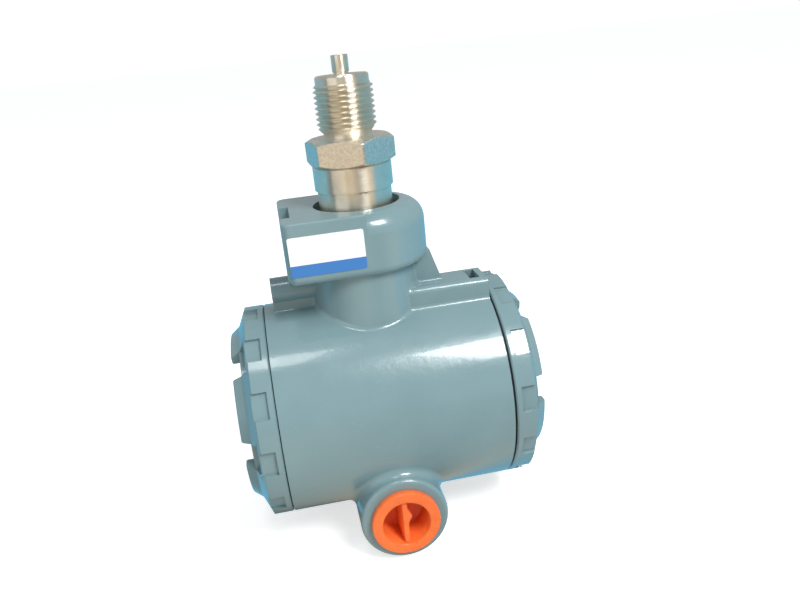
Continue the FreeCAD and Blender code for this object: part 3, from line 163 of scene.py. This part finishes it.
def turned_steel():
    """Bright turned stainless steel: the tool's rings round the axis spread its reflections upwards."""
    look = Look("turned_stainless")
    rings = look.noise(6.0, 3, stretch=(0.01, 0.01, 1))
    cloud = look.noise(0.2, 3)
    look.join(look.ramp(cloud, [(0.3, (0.78, 0.72, 0.60)), (0.7, (0.90, 0.84, 0.72))]),
              look.shader.inputs["Base Color"])
    look.join(look.ramp(rings, [(0.3, 0.27), (0.7, 0.35)]), look.shader.inputs["Roughness"])
    look.put(Metallic=1.0, Anisotropic=0.92, Anisotropic_Rotation=0.25)
    along = look.add("ShaderNodeTangent", direction_type="RADIAL", axis="Z")
    look.join(along.outputs["Tangent"], look.shader.inputs["Tangent"])
    look.bump([(rings, 0.006)])
    return look.material


def milled_steel():
    """Drawn hexagon bar: satin flats with a fine grain."""
    look = Look("hexagon_stainless")
    look.join(look.ramp(look.noise(1.1, 4), [(0.35, (0.68, 0.63, 0.55)), (0.65, (0.86, 0.81, 0.72))]),
              look.shader.inputs["Base Color"])
    look.join(look.ramp(look.noise(2.2, 4), [(0.3, 0.30), (0.7, 0.48)]), look.shader.inputs["Roughness"])
    look.put(Metallic=1.0)
    look.bump([(look.noise(3.0, 3), 0.02)], edge=0.15)
    return look.material


def plain_metal(name, colour, rough, grain=0.012, scale=2.0):
    look = Look(name)
    low = tuple(c * 0.88 for c in colour)
    look.join(look.ramp(look.noise(0.4, 4), [(0.3, low), (0.7, colour)]), look.shader.inputs["Base Color"])
    look.join(look.ramp(look.noise(scale, 3), [(0.3, rough * 0.8), (0.7, rough * 1.25)]),
              look.shader.inputs["Roughness"])
    look.put(Metallic=1.0)
    look.bump([(look.noise(scale, 3), grain)], edge=0.12)
    return look.material


def moulded(name, colour, rough, depth=0.02, scale=1.2, edge=0.25, **extra):
    look = Look(name)
    low = tuple(c * 0.85 for c in colour)
    look.join(look.ramp(look.noise(0.25, 4), [(0.3, low), (0.7, colour)]), look.shader.inputs["Base Color"])
    look.join(look.ramp(look.noise(scale, 3), [(0.3, rough * 0.85), (0.7, rough * 1.2)]),
              look.shader.inputs["Roughness"])
    look.put(**extra)
    look.bump([(look.noise(scale, 3), depth)], edge=edge)
    return look.material


def board(name):
    """Green solder resist with copper runs showing faintly through it."""
    look = Look(name)
    runs = look.ramp(look.noise(0.5, 0, stretch=(1, 0.15, 1)), [(0.47, 0.0), (0.5, 1.0), (0.53, 0.0)])
    look.join(look.mix(runs, (0.012, 0.10, 0.035), (0.03, 0.22, 0.07)), look.shader.inputs["Base Color"])
    look.join(look.ramp(look.noise(1.0, 2), [(0.3, 0.25), (0.7, 0.4)]), look.shader.inputs["Roughness"])
    look.bump([(runs, 0.03)])
    return look.material


def sticker():
    """Blank film sticker: a white field over a blue band."""
    look = Look("sticker_film")
    parts = look.add("ShaderNodeSeparateXYZ")
    look.join(look.place, parts.inputs["Vector"])
    level = look.add("ShaderNodeMapRange", clamp=False)
    level.inputs["From Min"].default_value = STICKER_LOW * MM
    level.inputs["From Max"].default_value = STICKER_HIGH * MM
    look.join(parts.outputs["Z"], level.inputs["Value"])
    band = look.ramp(level.outputs["Result"], [(BAND_SHARE - 0.004, 0.0), (BAND_SHARE + 0.004, 1.0)])
    paper = look.ramp(look.noise(0.5, 3), [(0.3, (0.80, 0.81, 0.82)), (0.7, (0.88, 0.88, 0.88))])
    look.join(look.mix(band, (0.045, 0.190, 0.50), paper), look.shader.inputs["Base Color"])
    look.join(look.ramp(look.noise(1.0, 2), [(0.3, 0.3), (0.7, 0.42)]), look.shader.inputs["Roughness"])
    look.bump([(look.noise(0.6, 2), 0.01)])
    return look.material


enamel_look = enamel()
steel_look = turned_steel()
hexagon_look = milled_steel()
orange_look = moulded("orange_polyethylene", (0.96, 0.185, 0.040), 0.30, 0.015, 0.8, 0.2,
                      Subsurface_Weight=0.15, Subsurface_Scale=0.002)
rubber_look = moulded("black_rubber", (0.018, 0.018, 0.020), 0.55)
black_look = moulded("black_plastic", (0.030, 0.031, 0.034), 0.42)
film_look = moulded("lead_film", (0.50, 0.26, 0.06), 0.3)
plug_look = plain_metal("nickel_plug", (0.62, 0.61, 0.58), 0.22)
zinc_look = plain_metal("zinc_screw", (0.50, 0.50, 0.49), 0.34)
brass_look = plain_metal("nickel_brass", (0.68, 0.60, 0.44), 0.26)
ground_look = plain_metal("ground_stainless", (0.62, 0.61, 0.59), 0.26)
board_look = board("green_board")
sticker_look = sticker()

LOOKS = {
    "stainless": steel_look, "black_rubber": rubber_look, "grey_paint": enamel_look,
    "orange_plastic": orange_look, "plug_steel": plug_look, "screw_steel": zinc_look,
    "green_board": board_look, "black_plastic": black_look, "lead_film": film_look,
    "nickel_brass": brass_look, "ground_steel": ground_look, "sticker_film": sticker_look,
}
slot_of = {part["node"]: part["material_slot"] for part in frame["record"]["subparts"]}
for name, item in nodes.items():
    item.data.materials.clear()
    item.data.materials.append(LOOKS[slot_of[name]])


# ---------------------------------------------------------------- mesh helpers
def mesh_object(name, points, faces, looks, smooth_angle=32.0, indices=None):
    mesh = bpy.data.meshes.new(name)
    mesh.from_pydata([[c * MM for c in point] for point in points], [], faces)
    mesh.validate()
    for look in looks:
        mesh.materials.append(look)
    if indices:
        mesh.polygons.foreach_set("material_index", indices)
    mesh.polygons.foreach_set("use_smooth", [True] * len(mesh.polygons))
    mesh.set_sharp_from_angle(angle=math.radians(smooth_angle))
    item = bpy.data.objects.new(name, mesh)
    bpy.context.scene.collection.objects.link(item)
    return item


def column_lathe(turns, rows, closed=True):
    """Points and quads of a turned form whose rows give (radius, height) at every turn."""
    points, faces = [], []
    count = len(turns)
    for row in rows:
        for turn in turns:
            radius, height = row(turn) if callable(row) else row
            points.append((radius * math.cos(turn), radius * math.sin(turn), height))
    last = len(rows) if closed else len(rows) - 1
    for i in range(last):
        start, following = i * count, ((i + 1) % len(rows)) * count
        for j in range(count):
            k = (j + 1) % count
            faces.append((start + j, following + j, following + k, start + k))
    return points, faces


# ---------------------------------------------------------------- process connection
FLATS, HEX_TURN, CHAMFER = 28.2, math.radians(-19.65), math.tan(math.radians(28.0))
CORNER = 16.14


def hex_radius(turn):
    """Distance from the axis to the hexagon's side, its corners slightly rounded."""
    off = (turn - HEX_TURN) % (math.pi / 3) - math.pi / 6
    return min(FLATS / 2 / math.cos(off), CORNER)


def make_process_connection():
    thread_r, depth, pitch = 10.4775, 1.162, 25.4 / 14
    thread_half, lead_in = 7.65, 1.0
    nose_top = 10.55
    spigot_top = 16.95
    turns = {round(2 * math.pi * i / 96, 5) for i in range(96)}
    for i in range(6):
        corner = HEX_TURN + i * math.pi / 3
        for step in (-2.4, -1.5, -1.1, 1.1, 1.5, 2.4):
            turns.add(round((corner + math.radians(step)) % (2 * math.pi), 5))
    turns = sorted(turns)

    def thread_at(height):
        def row(turn):
            phase = (height / pitch - turn / (2 * math.pi)) % 1.0
            rise = 1 - abs(2 * phase - 1)
            soft = 0.5 - 0.5 * math.cos(math.pi * rise)
            radius = thread_r - depth * (1 - (0.55 * soft + 0.45 * rise))
            radius = min(radius, thread_r - lead_in + thread_half - height,
                         thread_r - lead_in + thread_half + height)
            return radius, height
        return row

    def hex_row(inset, drop, top):
        level, way = (HEX_TOP, -1) if top else (HEX_BOTTOM, 1)

        def row(turn):
            radius = hex_radius(turn)
            slope = (radius - (FLATS / 2 - 0.3)) * CHAMFER
            return radius - inset, level + way * (slope + drop)
        return row

    step = 0.1
    count = int(2 * thread_half / step)
    rows = [(1.5, spigot_top - 0.15), (1.65, spigot_top), (2.6, spigot_top), (2.83, spigot_top - 0.07),
            (2.9, spigot_top - 0.3), (2.9, 11.5), (2.85, 11.38), (2.6, 11.3), (2.6, 10.7),
            (2.75, 10.55), (8.7, nose_top), (8.85, nose_top - 0.05), (9.25, nose_top - 0.5),
            (9.3, nose_top - 0.65), (9.3, thread_half)]
    rows += [thread_at(thread_half - step * i) for i in range(count + 1)]
    rows += [(8.6, -8.65), (8.5, -8.85), (8.5, -10.1), (8.75, HEX_TOP)]
    hexagon = len(rows)
    rows += [(13.6, HEX_TOP), (13.8, HEX_TOP - 0.02), hex_row(0.10, -0.05, True),
             hex_row(0.0, 0.12, True), hex_row(0.0, 0.12, False), hex_row(0.10, -0.05, False),
             (13.8, HEX_BOTTOM + 0.02), (13.6, HEX_BOTTOM)]
    after = len(rows)
    rows += [(10.0, HEX_BOTTOM), (10.0, -21.95), (8.8, -21.95), (8.8, -21.45), (1.5, -21.45)]
    points, faces = column_lathe(turns, rows)
    around = len(turns)
    indices = [1 if hexagon - 1 <= n // around < after else 0 for n in range(len(faces))]
    piece = mesh_object("threaded_connection", points, faces, [steel_look, hexagon_look],
                        28.0, indices)
    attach(piece, "module")
    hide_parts("process_connection")


make_process_connection()


# ---------------------------------------------------------------- transit plug
# How far the grip's edge waves out to one side, in millimetres
GRIP_BULGE = 1.5


def make_transit_plug():
    """Moulded orange plug: rounded flange, tapered cup and a finger grip with a waved edge."""
    turns = [2 * math.pi * i / 72 for i in range(72)]
    rim, cup, floor = 12.5, 8.6, 8.5
    outline = [(cup, -2.6), (cup + 0.12, -2.86), (cup + 0.4, -3.0), (rim - 0.9, -3.0), (rim - 0.35, -2.85),
               (rim - 0.08, -2.5), (rim, -2.1), (rim, -0.4), (rim - 0.15, -0.1), (9.7, -0.1), (9.7, 10.4),
               (9.3, 11.0), (0.0, 11.0), (0.0, floor), (cup - 1.3, floor), (cup - 0.75, floor - 0.3),
               (cup - 0.5, floor - 1.0)]
    points, faces = [], []
    for radius, depth in outline:
        for turn in turns:
            points.append((radius * math.cos(turn), depth, radius * math.sin(turn)))
    count = len(turns)
    for i in range(len(outline)):
        j = (i + 1) % len(outline)
        if outline[i][0] == 0 and outline[j][0] == 0:
            continue
        for k in range(count):
            m = (k + 1) % count
            faces.append((i * count + k, i * count + m, j * count + m, j * count + k))
    base = len(points)
    levels = 24
    for i in range(levels + 1):
        up = -1 + 2 * i / levels
        wave = GRIP_BULGE * math.exp(-((up - 0.28) / 0.22) ** 2)
        reach = cup - 0.35
        for across, depth in ((-2.1, floor), (-1.15, -1.75), (-0.95, -2.0), (0.55 + wave, -2.0),
                              (0.8 + wave, -1.75), (1.6, floor)):
            points.append((across, depth, up * reach))
    for i in range(levels):
        for j in range(6):
            k = (j + 1) % 6
            a, b = base + 6 * i, base + 6 * (i + 1)
            faces.append((a + j, a + k, b + k, b + j))
    faces += [tuple(base + j for j in reversed(range(6))),
              tuple(base + 6 * levels + j for j in range(6))]
    points = [(x, y - CONDUIT_Y, z + CONDUIT_Z) for x, y, z in points]
    piece = mesh_object("transit_plug", points, faces, [orange_look], 35.0)
    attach(piece, "front_plug")
    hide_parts("front_plug")


make_transit_plug()


# ---------------------------------------------------------------- surroundings
# Painted reflection: colours that the floor glows for glossy rays only, by direction round the object,
# standing in for cyan film behind and beside it and the dim warm room in front
PAINTED_REFLECTION_TURN = 10.0
CYAN, WARM, DIM = (0.16, 0.55, 0.80), (0.86, 0.70, 0.48), (0.08, 0.055, 0.035)
PAINTED_REFLECTION_COLOURS = [(0.0, CYAN), (0.27, CYAN), (0.32, DIM), (0.45, WARM), (0.5, WARM), (0.58, DIM),
                 (0.66, WARM), (0.70, CYAN), (1.0, CYAN)]


def stage_floor():
    """Pale floor: white to the camera with the object's shadow, and glowing a painted reflection for glossy
    rays, seen in metal.
    """
    low = cad_box[0][2]
    mesh = bpy.data.meshes.new("floor")
    half = 8.0
    mesh.from_pydata([(-half, -half, low), (half, -half, low), (half, half, low), (-half, half, low)],
                     [], [(0, 1, 2, 3)])
    floor = bpy.data.objects.new("floor", mesh)
    bpy.context.scene.collection.objects.link(floor)
    look = Look("floor")
    look.put(Base_Color=(0.84, 0.84, 0.84, 1), Roughness=0.9)
    path = look.add("ShaderNodeLightPath")
    lift = look.add("ShaderNodeEmission")
    lift.inputs["Color"].default_value = (1.0, 0.98, 0.97, 1)
    gain = look.add("ShaderNodeMath", operation="MULTIPLY")
    look.join(path.outputs["Is Camera Ray"], gain.inputs[0])
    gain.inputs[1].default_value = 0.62
    look.join(gain.outputs["Value"], lift.inputs["Strength"])
    seen = look.add("ShaderNodeAddShader")
    look.join(look.shader.outputs["BSDF"], seen.inputs[0])
    look.join(lift.outputs["Emission"], seen.inputs[1])

    turn = look.add("ShaderNodeMapping")
    turn.inputs["Rotation"].default_value = (0, 0, math.radians(90 + PAINTED_REFLECTION_TURN))
    look.join(look.place, turn.inputs["Vector"])
    around = look.add("ShaderNodeTexGradient", gradient_type="RADIAL")
    look.join(turn.outputs["Vector"], around.inputs["Vector"])
    # Painted reflection: an emission that only glossy rays see, coloured by direction round the object
    painted_reflection = look.add("ShaderNodeEmission")
    look.join(look.ramp(around.outputs["Fac"], PAINTED_REFLECTION_COLOURS), painted_reflection.inputs["Color"])
    blend = look.add("ShaderNodeMixShader")
    look.join(path.outputs["Is Glossy Ray"], blend.inputs["Fac"])
    look.join(seen.outputs["Shader"], blend.inputs[1])
    look.join(painted_reflection.outputs["Emission"], blend.inputs[2])
    look.join(blend.outputs["Shader"], look.tree.nodes["Material Output"].inputs["Surface"])
    mesh.materials.append(look.material)


def sky():
    world = bpy.data.worlds.new("studio")
    bpy.context.scene.world = world
    world.use_nodes = True
    tree = world.node_tree
    tree.nodes.clear()
    out = tree.nodes.new("ShaderNodeOutputWorld")
    blend = tree.nodes.new("ShaderNodeMixShader")
    path = tree.nodes.new("ShaderNodeLightPath")
    soft = tree.nodes.new("ShaderNodeBackground")
    soft.inputs["Color"].default_value = (0.84, 0.91, 0.93, 1)
    soft.inputs["Strength"].default_value = 0.5
    white = tree.nodes.new("ShaderNodeBackground")
    white.inputs["Color"].default_value = (1, 1, 1, 1)
    white.inputs["Strength"].default_value = 1.0
    tree.links.new(path.outputs["Is Camera Ray"], blend.inputs["Fac"])
    tree.links.new(soft.outputs["Background"], blend.inputs[1])
    tree.links.new(white.outputs["Background"], blend.inputs[2])
    tree.links.new(blend.outputs["Shader"], out.inputs["Surface"])


def softbox(name, turn, lift, distance, size, power, colour=(1, 1, 1)):
    """Area lamp at an azimuth from -Y towards +X and an elevation, aimed at the object's middle."""
    middle = Vector((0, 0, -0.09))
    turn, lift = math.radians(turn), math.radians(lift)
    way = Vector((math.sin(turn) * math.cos(lift), -math.cos(turn) * math.cos(lift), math.sin(lift)))
    lamp = bpy.data.lights.new(name, "AREA")
    lamp.shape = "RECTANGLE"
    lamp.size, lamp.size_y = size
    lamp.energy = power
    lamp.color = colour
    item = bpy.data.objects.new(name, lamp)
    bpy.context.scene.collection.objects.link(item)
    facing = way.to_track_quat("Z", "Y").to_matrix().to_4x4()
    item.matrix_world = Matrix.Translation(middle + way * distance) @ facing


# The camera's place in millimetres, its turns about X, Y and Z in degrees, and its focal length
CAMERA_PLACE = (-27.55, -265.50, 22.82)
CAMERA_TURN = (70.1124, 5.5241, -10.5264)
CAMERA_LENS = 33.63


def camera():
    data = bpy.data.cameras.new("camera")
    data.lens = CAMERA_LENS
    data.sensor_width = 36.0
    data.clip_start = 0.01
    item = bpy.data.objects.new("camera", data)
    bpy.context.scene.collection.objects.link(item)
    item.location = [c * MM for c in CAMERA_PLACE]
    item.rotation_euler = [math.radians(angle) for angle in CAMERA_TURN]
    bpy.context.scene.camera = item


stage_floor()
sky()
softbox("window", 31, 46, 1.0, (0.34, 0.34), 8.0)
softbox("ceiling", -18, 72, 1.1, (0.22, 0.22), 1.3)
softbox("fill", -50, 15, 1.6, (1.2, 1.0), 3.0, (1.0, 0.95, 0.9))
camera()
bpy.context.scene.view_settings.view_transform = "Standard"
